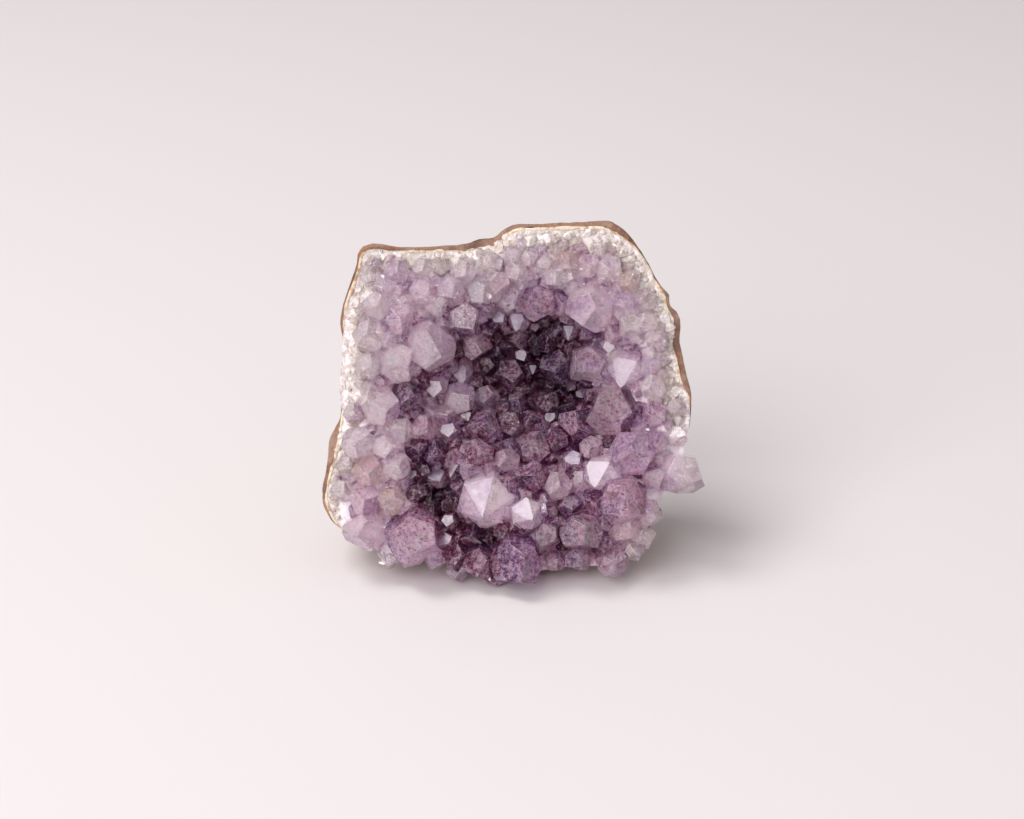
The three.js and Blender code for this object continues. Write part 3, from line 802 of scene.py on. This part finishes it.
LEANING = (
    (-28.5, 21, 3.2, -50, 0.2), (-30, 27.2, 2.4, -60, 0.2), (-24, 28.3, 2.7, -90, 0.2),
    (-18.4, 28.6, 2.6, -80, 0.2), (-13, 24.8, 2.9, -90, 0.3), (-9.8, 28.4, 2.5, -90, 0.2),
    (-7, 24.2, 2.7, -80, 0.3), (-3, 26.4, 2.9, -90, 0.2), (0.8, 28.2, 2.5, -90, 0.2),
    (3.8, 31, 2.1, -90, 0.1), (6.8, 29.6, 2, 90, 0.5), (9.4, 27.3, 2.4, -90, 0.3),
    (12.2, 29.8, 2.5, 100, 0.3), (16, 29.6, 2.7, -90, 0.2), (20.4, 29, 3.1, -100, 0.2),
    (25, 26.2, 2.6, -120, 0.2), (28.2, 22.2, 2.6, -150, 0.2), (-24, 18.2, 3.4, -30, 0.1),
    (-18.8, 24, 3, -30, 0.2), (-16.4, 21.4, 2.6, -30, 0.2), (-10.7, 18.7, 3.6, -45, 0.2),
    (-6, 21.6, 2.1, -70, 0.2), (0.4, 23.4, 2.4, -90, 0.2), (5.2, 22.7, 4.1, -80, 0.3),
    (10.5, 21.6, 2.5, -90, 0.3), (16.7, 21.6, 5.1, -105, 0.35), (24.3, 21.8, 2.8, -130, 0.2),
    (25.4, 16.8, 2.7, -150, 0.2), (29, 17.4, 2.4, 180, 0.2), (31, 13.4, 2.5, 180, 0.1),
    (-30, 14.2, 3.5, 0, 0.1), (-18.5, 12.9, 5.4, -40, 0.1), (-24.6, 9, 4.1, -20, 0.2),
    (-30.6, 8.2, 3, 0, 0.2), (-28.3, -0.2, 4.1, -20, 0.2), (-33.4, -1.8, 2.4, 0, 0.1),
    (-32.6, -8, 3.7, 0, 0.1), (-30.4, -13.9, 3.5, 0, 0.1), (-35.2, -13.4, 2.5, 0, 0.1),
    (-31, -19.9, 3.7, 0, 0.1), (-36.2, -18.6, 2.5, 0, 0.1), (-22.5, 1.6, 3.5, 0, 0.1),
    (-24, -5.6, 3, -30, 0.1), (-19, -5, 3, -60, 0.1), (-26.5, -9.2, 3.1, 0, 0.1),
    (-24.4, -13.2, 3.2, 0, 0.1), (-20.4, -9.8, 2.7, -60, 0.1), (-25.4, -20.4, 3, 180, 0.1),
    (-20.4, -18.6, 2.4, -90, 0.1), (-31, -26.4, 4.4, -120, 0.2), (-20.4, -27.2, 5.9, -70, 0.15),
    (-25.8, -31.2, 2.8, -95, 0.5), (-16, -31.6, 2.7, -90, 0.4), (-1, 6, 3.7, -90, 0.35),
    (10.5, 7.8, 4.3, -100, 0.1), (16.9, 8.8, 4.6, -110, 0.1), (8, -0.6, 2.6, 90, 0.1),
    (-8.3, 12.7, 3.3, -60, 0.1), (-5.6, 8.6, 2.5, -60, 0.1), (-11.6, 1, 3.6, -60, 0.1),
    (-5.8, 1.2, 2.8, -60, 0.1), (0.8, -0.4, 2.4, -90, 0.1), (-6.2, -6, 3.7, -90, 0.1),
    (-0.6, -5.2, 3.2, 60, 0.1), (3.7, -4.4, 2.6, -60, 0.1), (-7.2, -11, 3.4, -90, 0.1),
    (4.8, -10, 3.5, -90, 0.1), (-1.2, -12.2, 2.8, -90, 0.1), (9.6, -8.2, 2.8, -90, 0.1),
    (14.6, -5.4, 4.3, 80, 0.2), (22.2, -1.8, 5.3, -150, 0.1), (17, -9.8, 2.7, -90, 0.1),
    (25.8, -10.4, 5.1, -90, 0.1), (30.2, -2.4, 2.8, 120, 0.1), (30.4, 3.6, 2.8, -160, 0.1),
    (34.4, -0.6, 2.2, 0, 0.2), (34.6, -6.6, 2.3, 0, 0.3), (30.4, -8, 2.4, -120, 0.1),
    (35.6, -14.4, 4.5, -12, 0.55), (29.8, -15.6, 2.6, -60, 0.2), (4.2, -15.6, 3.5, -90, 0.1),
    (-8.6, -14.4, 2.4, 120, 0.1), (-0.6, -17.2, 2.6, 90, 0.1), (9.6, -17.2, 3.1, -90, 0.1),
    (7.2, -27.2, 3.3, -110, 0.3), (0.8, -31.4, 5.6, -70, 0.25), (-6, -32.6, 4.1, -110, 0.3),
    (-11.8, -31.4, 3.3, -110, 0.3), (-11.2, -34.4, 2.5, -110, 0.5), (-3.2, -35.4, 2.6, -100, 0.5),
    (9.2, -32.8, 2.2, -90, 0.3), (14.4, -26, 4.7, -80, 0.3), (14, -32, 2.8, -90, 0.4),
    (22.6, -19.9, 5.1, -60, 0.2), (12, -21.6, 2.5, -60, 0.2), (24, -25.8, 3.3, -80, 0.3),
    (27.4, -27.4, 2.6, -50, 0.4), (28.2, -22.8, 3, -30, 0.3), (21, -32.2, 3.5, -75, 0.7),
    (25.8, -30.2, 2.6, -60, 0.4), (18.4, -28.8, 2.7, -90, 0.3), (17, -20.6, 3.1, -60, 0.1),
    (-16.4, -10, 3, -60, 0.1), (13.6, 11.6, 2.6, -90, 0.1), (7.4, 13.4, 2.8, -90, 0.1),
)


def facing_frame(face, angle):
    """Axes of a crystal that turns a point face to a direction, its tip at an angle."""
    tip = np.array((math.cos(math.radians(angle)), math.sin(math.radians(angle)), 0))
    tip = unit(tip - (tip @ face) * face)
    axis = face * math.cos(PYRAMID_TILT) + tip * math.sin(PYRAMID_TILT)
    side = unit(face - (face @ axis) * axis)
    return np.array((side, np.cross(axis, side), axis))


def leaning_frame(u, v, angle, lean, twist):
    """Axes of a crystal that stands on the bed, leans to one side and is turned by twist."""
    step = 0.5
    slope_u = (bed_height(u + step, v) - bed_height(u - step, v)) / (2 * step)
    slope_v = (bed_height(u, v + step) - bed_height(u, v - step)) / (2 * step)
    turn = math.radians(angle)
    axis = unit((
        lean * math.cos(turn) - FOLLOW_BED * slope_u,
        lean * math.sin(turn) - FOLLOW_BED * slope_v,
        1,
    ))
    side = unit(np.array((1, 0, 0)) - axis[0] * axis)
    third = np.cross(axis, side)
    turned = side * math.cos(twist) + third * math.sin(twist)
    return np.array((turned, np.cross(axis, turned), axis))


def any_frame(draw):
    """Axes that point anywhere in the half that faces out."""
    axis = unit((2 * next(draw) - 1, 2 * next(draw) - 1, 0.15 + next(draw)))
    side = unit(np.cross(axis, (0.3, 0.9, 0.2)))
    return np.array((side, np.cross(axis, side), axis))


def flashes(axes):
    """Whether a point face would by chance mirror the light as the shared face does."""
    for side in range(6):
        turn = math.radians(60) * side
        across = axes[0] * math.cos(turn) + axes[1] * math.sin(turn)
        normal = axes[2] * math.cos(PYRAMID_TILT) + across * math.sin(PYRAMID_TILT)
        if max(normal @ SHARED_FACE, normal @ WINDOW_FACE) > math.cos(FLASH_ANGLE):
            return True
    return False


def quiet_frame(u, v, angle, lean, twist):
    """Axes of a leaning crystal, turned on until no point face flashes."""
    for attempt in range(12):
        axes = leaning_frame(u, v, angle, lean, twist)
        if not flashes(axes):
            break
        twist += math.radians(10)
    return axes


crystals = []
draw = numbers(SEED)
for u, v, radius, angle, uneven in FACING:
    face = WINDOW_FACE if v > WINDOW_FROM else SHARED_FACE
    crystals.append((u, v, radius, facing_frame(face, angle), uneven, SHOULDER))
mirrors = len(crystals)
for u, v, radius, angle, lean in LEANING:
    lean += 0.2 * next(draw)
    axes = quiet_frame(u, v, angle, lean, math.radians(120) * next(draw))
    crystals.append((u, v, radius, axes, 1, SHOULDER))
print("large crystals", len(crystals))

# %% [markdown]
# Hundreds of small crystals fill the gaps. They are placed one after another at random points,
# and a point too close to a crystal that is already there is dropped. They sit lower in the bed
# and lean more than the large ones, or they would look like a layer of beads. The numbers come
# from the same repeatable sequence, so every run gives the same cluster.

# %% Fill the gaps with small crystals
SMALL_TRIES = 9000
CROWDING = 0.6
placed = [(u, v, radius) for u, v, radius, axes, uneven, shoulder in crystals]
large_count = len(crystals)
for attempt in range(SMALL_TRIES):
    u = -41 + 80 * next(draw)
    v = -38 + 77 * next(draw)
    size = next(draw)
    angle = 360 * next(draw)
    lean = 0.9 * next(draw)
    twist = math.radians(120) * next(draw)
    inside = float(edge_distance(u, v))
    if inside < 4 + 1.5 * size:
        continue
    radius = 1.3 + 1.6 * size
    known = np.array(placed)
    gaps = np.hypot(known[:, 0] - u, known[:, 1] - v) - CROWDING * (known[:, 2] + radius)
    if gaps.min() < 0:
        continue
    placed.append((u, v, radius))
    crystals.append((u, v, radius, quiet_frame(u, v, angle, lean, twist), 1, SINK))
print("small crystals", len(crystals) - large_count)

# %% [markdown]
# Each crystal becomes a closed mesh, a little uneven like the real ones, with its edges taken
# off by a narrow bevel that catches the light. Then all of them are joined into one solid, as
# they are grown together, so that light inside them meets no hidden walls. Values stored on the
# faces survive the joining. They tell the shader how violet or tan a crystal is, with the painted
# shade of the hollow held in the violet, how dull a face is, and which faces are worn edges or
# mirrors. The valleys between crystals are found after it, for their painted shade and their rust.

# %% Grow the crystals together
TAN_PATCHES = (
    (-30.4, -14, 2.5, 0.7), (-26, -20.4, 2.5, 0.7), (22.8, -29, 3, 0.5), (24.4, -22, 3, 0.35),
    (21, -4.3, 2, 0.5), (24.9, 27, 3, 0.6), (11.7, 30.3, 3, 0.6), (-3, 24, 2, 0.5), (32.5, -3, 2, 0.7),
    (-28.6, -22, 2, 0.8),
)
EDGE_BEVEL = 0.07
BEVELLED = 1.6
VALLEY_ANGLE = -0.2
MIRROR_MATCH = 0.995
chance = numbers(SEED + 1)


def crystal_mesh(name, u, v, radius, axes, uneven, shoulder, mirror, tone):
    """A crystal's solid. Its six sides and faces are alike where uneven is 0."""
    sides = radius * np.array([1 - 0.2 * uneven * next(chance) for side in range(6)])
    further = np.array([0.25 * next(chance) + side % 2 * (0.2 + 0.6 * next(chance)) for side in range(6)])
    points = radius * (1 + uneven * further) * math.sin(PYRAMID_TILT)
    rise = shoulder * radius
    foot = np.array((u, v, float(bed_height(u, v)))) + axes[2] * rise
    shape = bmesh.new()
    for corner in upright(foot + crystal_body(sides, points, rise + ROOT) @ axes):
        shape.verts.new(corner)
    bmesh.ops.convex_hull(shape, input=shape.verts)
    bmesh.ops.dissolve_limit(shape, angle_limit=math.radians(1), verts=shape.verts, edges=shape.edges)
    worn = []
    if radius > BEVELLED:
        width = EDGE_BEVEL * MM
        edges = shape.edges[:]
        made = bmesh.ops.bevel(shape, geom=edges, offset=width, segments=1, affect="EDGES", clamp_overlap=True)
        shape.faces.index_update()
        worn = [face.index for face in made["faces"]]
    if any(not edge.is_manifold for edge in shape.edges):
        print(name, "isn't closed")
    mesh = bpy.data.meshes.new(name)
    shape.to_mesh(mesh)
    shape.free()
    normals = np.empty(len(mesh.polygons) * 3)
    mesh.polygons.foreach_get("normal", normals)
    facing = (normals.reshape(-1, 3) @ FACE_AXES.T @ np.array((SHARED_FACE, WINDOW_FACE)).T).max(1)
    count = len(mesh.polygons)
    depth = float(violet_and_hollow_shade(u, v)) * (0.75 + 0.5 * tone) + 0.24 * (tone - 0.5)
    store(mesh, "violet", np.full(count, depth), "FACE")
    store(mesh, "tan", np.full(count, bumps(u, v, TAN_PATCHES)), "FACE")
    store(mesh, "polish", [next(chance) for face in range(count)], "FACE")
    store(mesh, "worn", np.isin(np.arange(count), worn), "FACE")
    store(mesh, "mirror", mirror * (facing > MIRROR_MATCH), "FACE")
    return mesh


def grain_mesh(name, place, radius, axes):
    """A short uneven body, pointed at both ends."""
    sides = radius * np.array([1 - 0.3 * next(chance) for side in range(6)])
    points = radius * np.array([1 + 0.5 * next(chance) for side in range(6)]) * math.sin(PYRAMID_TILT)
    shape = bmesh.new()
    for corner in upright(place + crystal_body(sides, points, radius) @ axes):
        shape.verts.new(corner)
    bmesh.ops.convex_hull(shape, input=shape.verts)
    mesh = bpy.data.meshes.new(name)
    shape.to_mesh(mesh)
    shape.free()
    store(mesh, "tone", np.full(len(mesh.polygons), next(chance)), "FACE")
    return mesh


def crevices(mesh):
    """1 at the points where two crystals meet in a valley, 0 at the others."""
    shape = bmesh.new()
    shape.from_mesh(mesh)
    depth = np.zeros(len(shape.verts))
    for edge in shape.edges:
        if edge.is_manifold and edge.calc_face_angle_signed() < VALLEY_ANGLE:
            for point in edge.verts:
                depth[point.index] = 1
    shape.free()
    return depth


def grow_together(name, meshes):
    """One solid from many closed meshes."""
    together = bpy.data.collections.new("growing")
    scene.collection.children.link(together)
    for mesh in meshes[1:]:
        together.objects.link(bpy.data.objects.new(mesh.name, mesh))
    piece = bpy.data.objects.new(name, meshes[0])
    scene.collection.objects.link(piece)
    combine(piece, together, "UNION")
    bpy.data.collections.remove(together)
    cut_base(piece)
    print(name, "faces", len(piece.data.polygons))
    return piece


tones = numbers(SEED + 2)
members = []
for index, crystal in enumerate(crystals):
    members.append(crystal_mesh(f"crystal_{index}", *crystal, index < mirrors, next(tones)))
amethyst = grow_together("amethyst_crystals", members)

# %% [markdown]
# Amethyst is clear quartz with a violet tint, so it's a glass: the index of quartz, and a volume
# that absorbs green most. Its transmission stays below one, because healed cracks and growth
# zones scatter part of the light before it gets through. The tint isn't even. It's deep in the
# hollow, where painted shade deepens it further, and pale at the edge, rosy in one crystal and
# bluish in the next, with dark flecks. Painted white glints are mixed in, mostly in the pale
# crystals, and painted shade darkens each crystal's foot and the valleys between crystals, where
# rust gathers too. So the colour of the surface varies, from stored values and cloudy noise.
# Faces turned to mirror a light get a painted silvery sheen. Worn edges are frosted, and most
# faces are smooth with low steps of growth. A coat brightens the pale crystals only, since in the
# hollow it would mirror the white room.

# %% The finish of the crystals
glassy = Finish("amethyst_glass")
violet = glassy.attribute("violet")
height = glassy.attribute("height")
worn = glassy.attribute("worn")
polish = glassy.attribute("polish")
mirror = glassy.attribute("mirror")
facet = glassy.node("ShaderNodeVectorMath", {"operation": "MULTIPLY_ADD"}, {
    0: polish, 1: (0.7, 0.4, 0.9), 2: glassy.place(),
})
wisps = glassy.noise(280, 5, 0.65)
mottle = glassy.noise(1200, 3, 0.6, at=facet)
thread = glassy.noise(2800, 3, 0.7, at=facet)
crevice = glassy.attribute("crevice")
# Painted shade: darker at each crystal's foot and in the valleys where crystals meet, more so where the violet
# is deep.
root = (glassy.steps(height * -1, -2.2, 0.8) * 0.3 + crevice * 0.45) * (0.05 + violet * 1.45)
contrast = 0.4 + violet * 1.4
cloudy = (wisps - 0.5) * (0.6 + violet * 0.6)
spotted = ((mottle - 0.5) * 1.8 + (thread - 0.5) * 1.4) * contrast
# The sum holds the violet, the painted shade of the hollow and of the valleys, cloudy noise and each face's
# random tone.
depth = violet + cloudy + spotted + (polish - 0.5) * 0.45 + root
rosy = glassy.ramp(depth, [
    (0.0, linear(254, 243, 243)), (0.15, linear(252, 233, 240)), (0.35, linear(240, 202, 222)),
    (0.6, linear(192, 140, 168)), (0.8, linear(136, 74, 108)), (1.0, linear(84, 8, 44)),
])
bluish = glassy.ramp(depth, [
    (0.0, linear(252, 247, 251)), (0.15, linear(249, 236, 247)), (0.35, linear(230, 206, 233)),
    (0.6, linear(164, 128, 182)), (0.8, linear(102, 66, 124)), (1.0, linear(60, 16, 62)),
])
cool = glassy.steps(glassy.noise(170, 3, 0.5) + (polish - 0.5) * 0.25, 0.42, 0.57)
tint = glassy.mix(cool * 0.75, rosy, bluish)
specks = glassy.steps(thread, 0.53, 0.6) * glassy.steps(mottle, 0.4, 0.55)
flecks = specks * glassy.steps(violet, 0.1, 0.6)
tint = glassy.mix(flecks * 0.7, tint, linear(78, 34, 62))
# Painted glints: small white specks mixed into the colour, mostly in the paler crystals.
painted_glints = glassy.steps(glassy.noise(2100, 3, 0.7, at=facet), 0.57, 0.61)
tint = glassy.mix(painted_glints * (0.7 - violet * 0.6), tint, linear(250, 240, 250))
frost = worn * glassy.steps(wisps, 0.35, 0.55) * (0.8 - violet * 0.6)
frosted = glassy.mix(frost, tint, linear(252, 243, 248))
dullness = glassy.noise(900, 4, 0.6)
hillocks = glassy.noise(500, 3, 0.6, at=facet) * 9
terraces = glassy.node("ShaderNodeMath", {"operation": "FLOOR"}, {0: hillocks}) * 0.12
uneven_growth = terraces + glassy.noise(1300, 3, 0.5) * 0.5 + glassy.noise(420, 2, 0.5) * 0.5
growth = uneven_growth * (1 - mirror * 0.4)
tan = glassy.attribute("tan")
tanned = glassy.mix(tan * glassy.steps(wisps + thread, 0.85, 1.1), frosted, linear(216, 178, 150))
rust = glassy.steps(glassy.noise(420, 4, 0.7), 0.62, 0.68) * crevice
rusted = glassy.mix(rust * 0.7, tanned, linear(132, 88, 44))
# Painted sheen: faces turned to mirror a light get a silvery colour, so that they read bright whatever they
# mirror.
painted_sheen = glassy.mix(mirror * (0.3 + mottle * 0.6), rusted, linear(190, 174, 198))
dull = glassy.steps(dullness + polish * 0.3, 0.65, 0.9) * 0.2
crystal_surface = glassy.principled(
    Base_Color=painted_sheen,
    Metallic=mirror * 0.04,
    Roughness=0.02 + dull + worn * 0.15 + mirror * 0.27,
    IOR=1.544,
    Transmission_Weight=0.78,
    Coat_Weight=(0.5 - glassy.steps(violet, 0.15, 0.5) * 0.45) * (1 - mirror * 0.8),
    Coat_Roughness=0.04,
    Normal=glassy.bump(growth, 0.0002, 0.7),
)
absorption = glassy.node(
    "ShaderNodeVolumeAbsorption",
    inputs={"Color": (0.64, 0.22, 0.46, 1), "Density": 12.5},
    output="Volume",
)
amethyst.data.materials.clear()
amethyst.data.materials.append(glassy.finish(crystal_surface, absorption))
u, v, w = face_places(amethyst.data).T
store(amethyst.data, "height", w - bed_height(u, v))
store(amethyst.data, "crevice", crevices(amethyst.data))
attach(amethyst, "root")
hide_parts("amethyst_druse")

# %% [markdown]
# Clear crystals of this kind are never empty. Old cracks that have healed stay inside as thin
# silvery veils, and they are what sparkles in the depth. Each veil is a flake thinner than a
# hair, with an uneven outline, set anyhow inside a crystal. It's slightly metallic, since a crack
# filled with air mirrors light, and partly see-through. In the hollow the veils take on dark
# violet, partly as painted shade of the hollow.

# %% The veils inside the crystals
VEIL_THICKNESS = 0.03
VEIL_CORNERS = 7
veil_points = []
veil_faces = []
for u, v, radius, axes, uneven, shoulder in crystals:
    foot = np.array((u, v, float(bed_height(u, v))))
    for veil in range(3 + int(radius * 2)):
        place = (1.1 * next(draw) - 0.55, 1.1 * next(draw) - 0.55, 1.3 * next(draw) - 0.3)
        centre = foot + radius * np.array(place) @ axes
        frame_axes = any_frame(draw)
        size = radius * (0.1 + 0.25 * next(draw) ** 2)
        turns = np.linspace(0, 2 * math.pi, VEIL_CORNERS, endpoint=False)
        arms = size * np.array([0.5 + next(draw) for corner in turns])
        flat = np.column_stack((arms * np.cos(turns), 0.6 * arms * np.sin(turns), np.zeros(VEIL_CORNERS)))
        start = len(veil_points)
        for side in (0, VEIL_THICKNESS):
            veil_points.extend(centre + (flat + (0, 0, side)) @ frame_axes)
        lower = list(range(start, start + VEIL_CORNERS))
        upper = [corner + VEIL_CORNERS for corner in lower]
        veil_faces += [lower[::-1], upper]
        for k in range(VEIL_CORNERS):
            following = (k + 1) % VEIL_CORNERS
            veil_faces.append((lower[k], lower[following], upper[following], upper[k]))
silvery = Finish("healed_cracks")
silver = silvery.noise(900, 3, 0.6)
# In the hollow the veils turn dark violet, following the stored value that holds the hollow's painted shade
# too.
shaded = silvery.steps(silvery.attribute("violet"), 0.2, 0.6)
silvery_surface = silvery.principled(
    Base_Color=silvery.mix(shaded, linear(252, 246, 252), linear(120, 62, 104)),
    Metallic=0.15,
    Roughness=0.35,
    Alpha=silvery.steps(silver, 0.35, 0.65) * 0.8,
)
veils = add_mesh("veils", upright(np.array(veil_points)), veil_faces, silvery.finish(silvery_surface))
store(veils.data, "violet", violet_and_hollow_shade(*face_places(veils.data)[:, :2].T))
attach(veils, "root")
print("veils", len(veil_faces) // (VEIL_CORNERS + 2))

# %% [markdown]
# Along the broken edge the quartz has no violet in it and no room for points. It's a band of
# grains, broken across: small milky bits at every angle, hardly see-through. They are the same
# kind of body as the crystals, turned anyhow, smaller the nearer they are to the edge, and
# joined into a piece of their own because their quartz has no colour.

# %% The grains of the rim
GRAIN_TRIES = 14000
RIM_BAND = 5
GRAIN_SINK = 0.65
GRAIN_ROOM = 0.6
grains = []
known = np.empty((0, 3))
for attempt in range(GRAIN_TRIES):
    u = -42 + 82 * next(draw)
    v = -38 + 78 * next(draw)
    radius = 0.9 + 1.3 * next(draw)
    axes = any_frame(draw)
    inside = float(edge_distance(u, v) - rind_at_edge.min() - CHALCEDONY)
    radius = min(radius, inside * GRAIN_ROOM)
    if radius < 0.45 or inside > RIM_BAND * (0.5 + 0.5 * next(draw)) or open_side(u, v) > 0.4:
        continue
    if len(known) and (np.hypot(known[:, 0] - u, known[:, 1] - v) - 0.52 * (known[:, 2] + radius)).min() < 0:
        continue
    known = np.vstack((known, (u, v, radius)))
    height = float(quartz_front(u, v)) - GRAIN_SINK * radius
    mesh = grain_mesh(f"grain_{len(grains)}", np.array((u, v, height)), radius, axes)
    grains.append(mesh)
print("rim grains", len(grains))
rim_quartz = grow_together("rim_quartz", grains)
clear = Finish("rim_quartz")
haze = clear.noise(700, 5, 0.65)
flecks = clear.noise(220, 3, 0.6)
pale = clear.ramp(haze + (clear.attribute("tone") - 0.5) * 0.3, [
    (0.3, linear(180, 162, 156)), (0.45, linear(210, 196, 190)), (0.6, linear(234, 226, 222)),
])
tinted = clear.mix(clear.steps(flecks, 0.5, 0.75) * 0.5, pale, linear(206, 178, 160))
rim_surface = clear.principled(
    Base_Color=tinted,
    Roughness=0.08 + clear.steps(haze, 0.45, 0.7) * 0.35,
    IOR=1.544,
    Transmission_Weight=0.15,
    Normal=clear.bump(clear.noise(1800, 3, 0.6), 0.00015, 0.5),
)
rim_quartz.data.materials.clear()
rim_quartz.data.materials.append(clear.finish(rim_surface))
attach(rim_quartz, "root")
